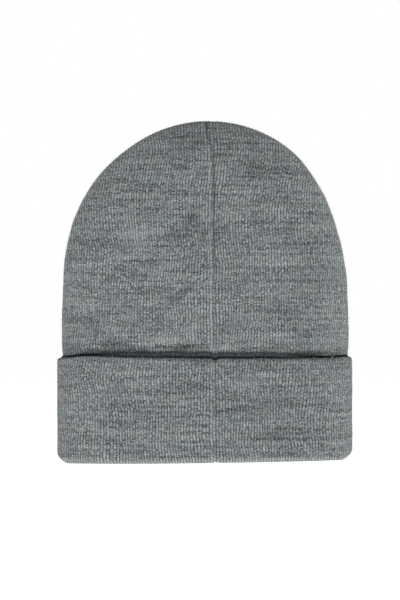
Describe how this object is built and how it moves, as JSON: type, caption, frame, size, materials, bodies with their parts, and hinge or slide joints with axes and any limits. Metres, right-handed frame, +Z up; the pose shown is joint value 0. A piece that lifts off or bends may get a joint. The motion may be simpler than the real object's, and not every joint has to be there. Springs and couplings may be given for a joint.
{
  "type": "knit beanie",
  "caption": "Double-layer knitted winter hat with a domed crown sewn from gores, a long back seam and a deep turned-up cuff.",
  "frame": {"origin": "on the surface that the hat stands on, under the middle of its hem", "axes": "+Z up from the hem to the crown, +Y towards the front of the hat, so the sewn back faces -Y, and +X to the right seen from the back"},
  "size_m": [0.19, 0.0721, 0.2202],
  "materials": {
    "knit_outer": "matt grey melange jersey knit",
    "knit_lining": "matt grey melange jersey knit, seen from inside",
    "seam_thread": "spun sewing thread, grey",
    "label_tape": "woven satin tape, off-white, blank"
  },
  "bodies": {
    "hat_body": {"shell_outer_knit": "knit_outer", "shell_lining_knit": "knit_lining", "shell_back_seam_thread": "seam_thread", "lining_back_seam_thread": "seam_thread", "crown_dart_left_thread": "seam_thread", "crown_dart_right_thread": "seam_thread", "crown_dart_front_thread": "seam_thread", "lining_dart_threads": "seam_thread", "crown_apex_tack": "seam_thread", "lining_apex_tack": "seam_thread", "care_label_stitches": "seam_thread"},
    "cuff": {"cuff_face_knit": "knit_outer", "cuff_back_knit": "knit_lining", "cuff_back_seam_thread": "seam_thread"},
    "label": {"care_label": "label_tape"}
  },
  "joints": [
    {"name": "cuff_turn_down", "type": "slide", "parent": "hat_body", "child": "cuff", "axis": [0, 0, -1], "range_m": [0, 0.063]},
    {"name": "label_flap", "type": "hinge", "parent": "hat_body", "child": "label", "pos_m": [0.006, -0.0288, 0.046], "axis": [1, 0, 0], "range_deg": [0, 90]}
  ]
}
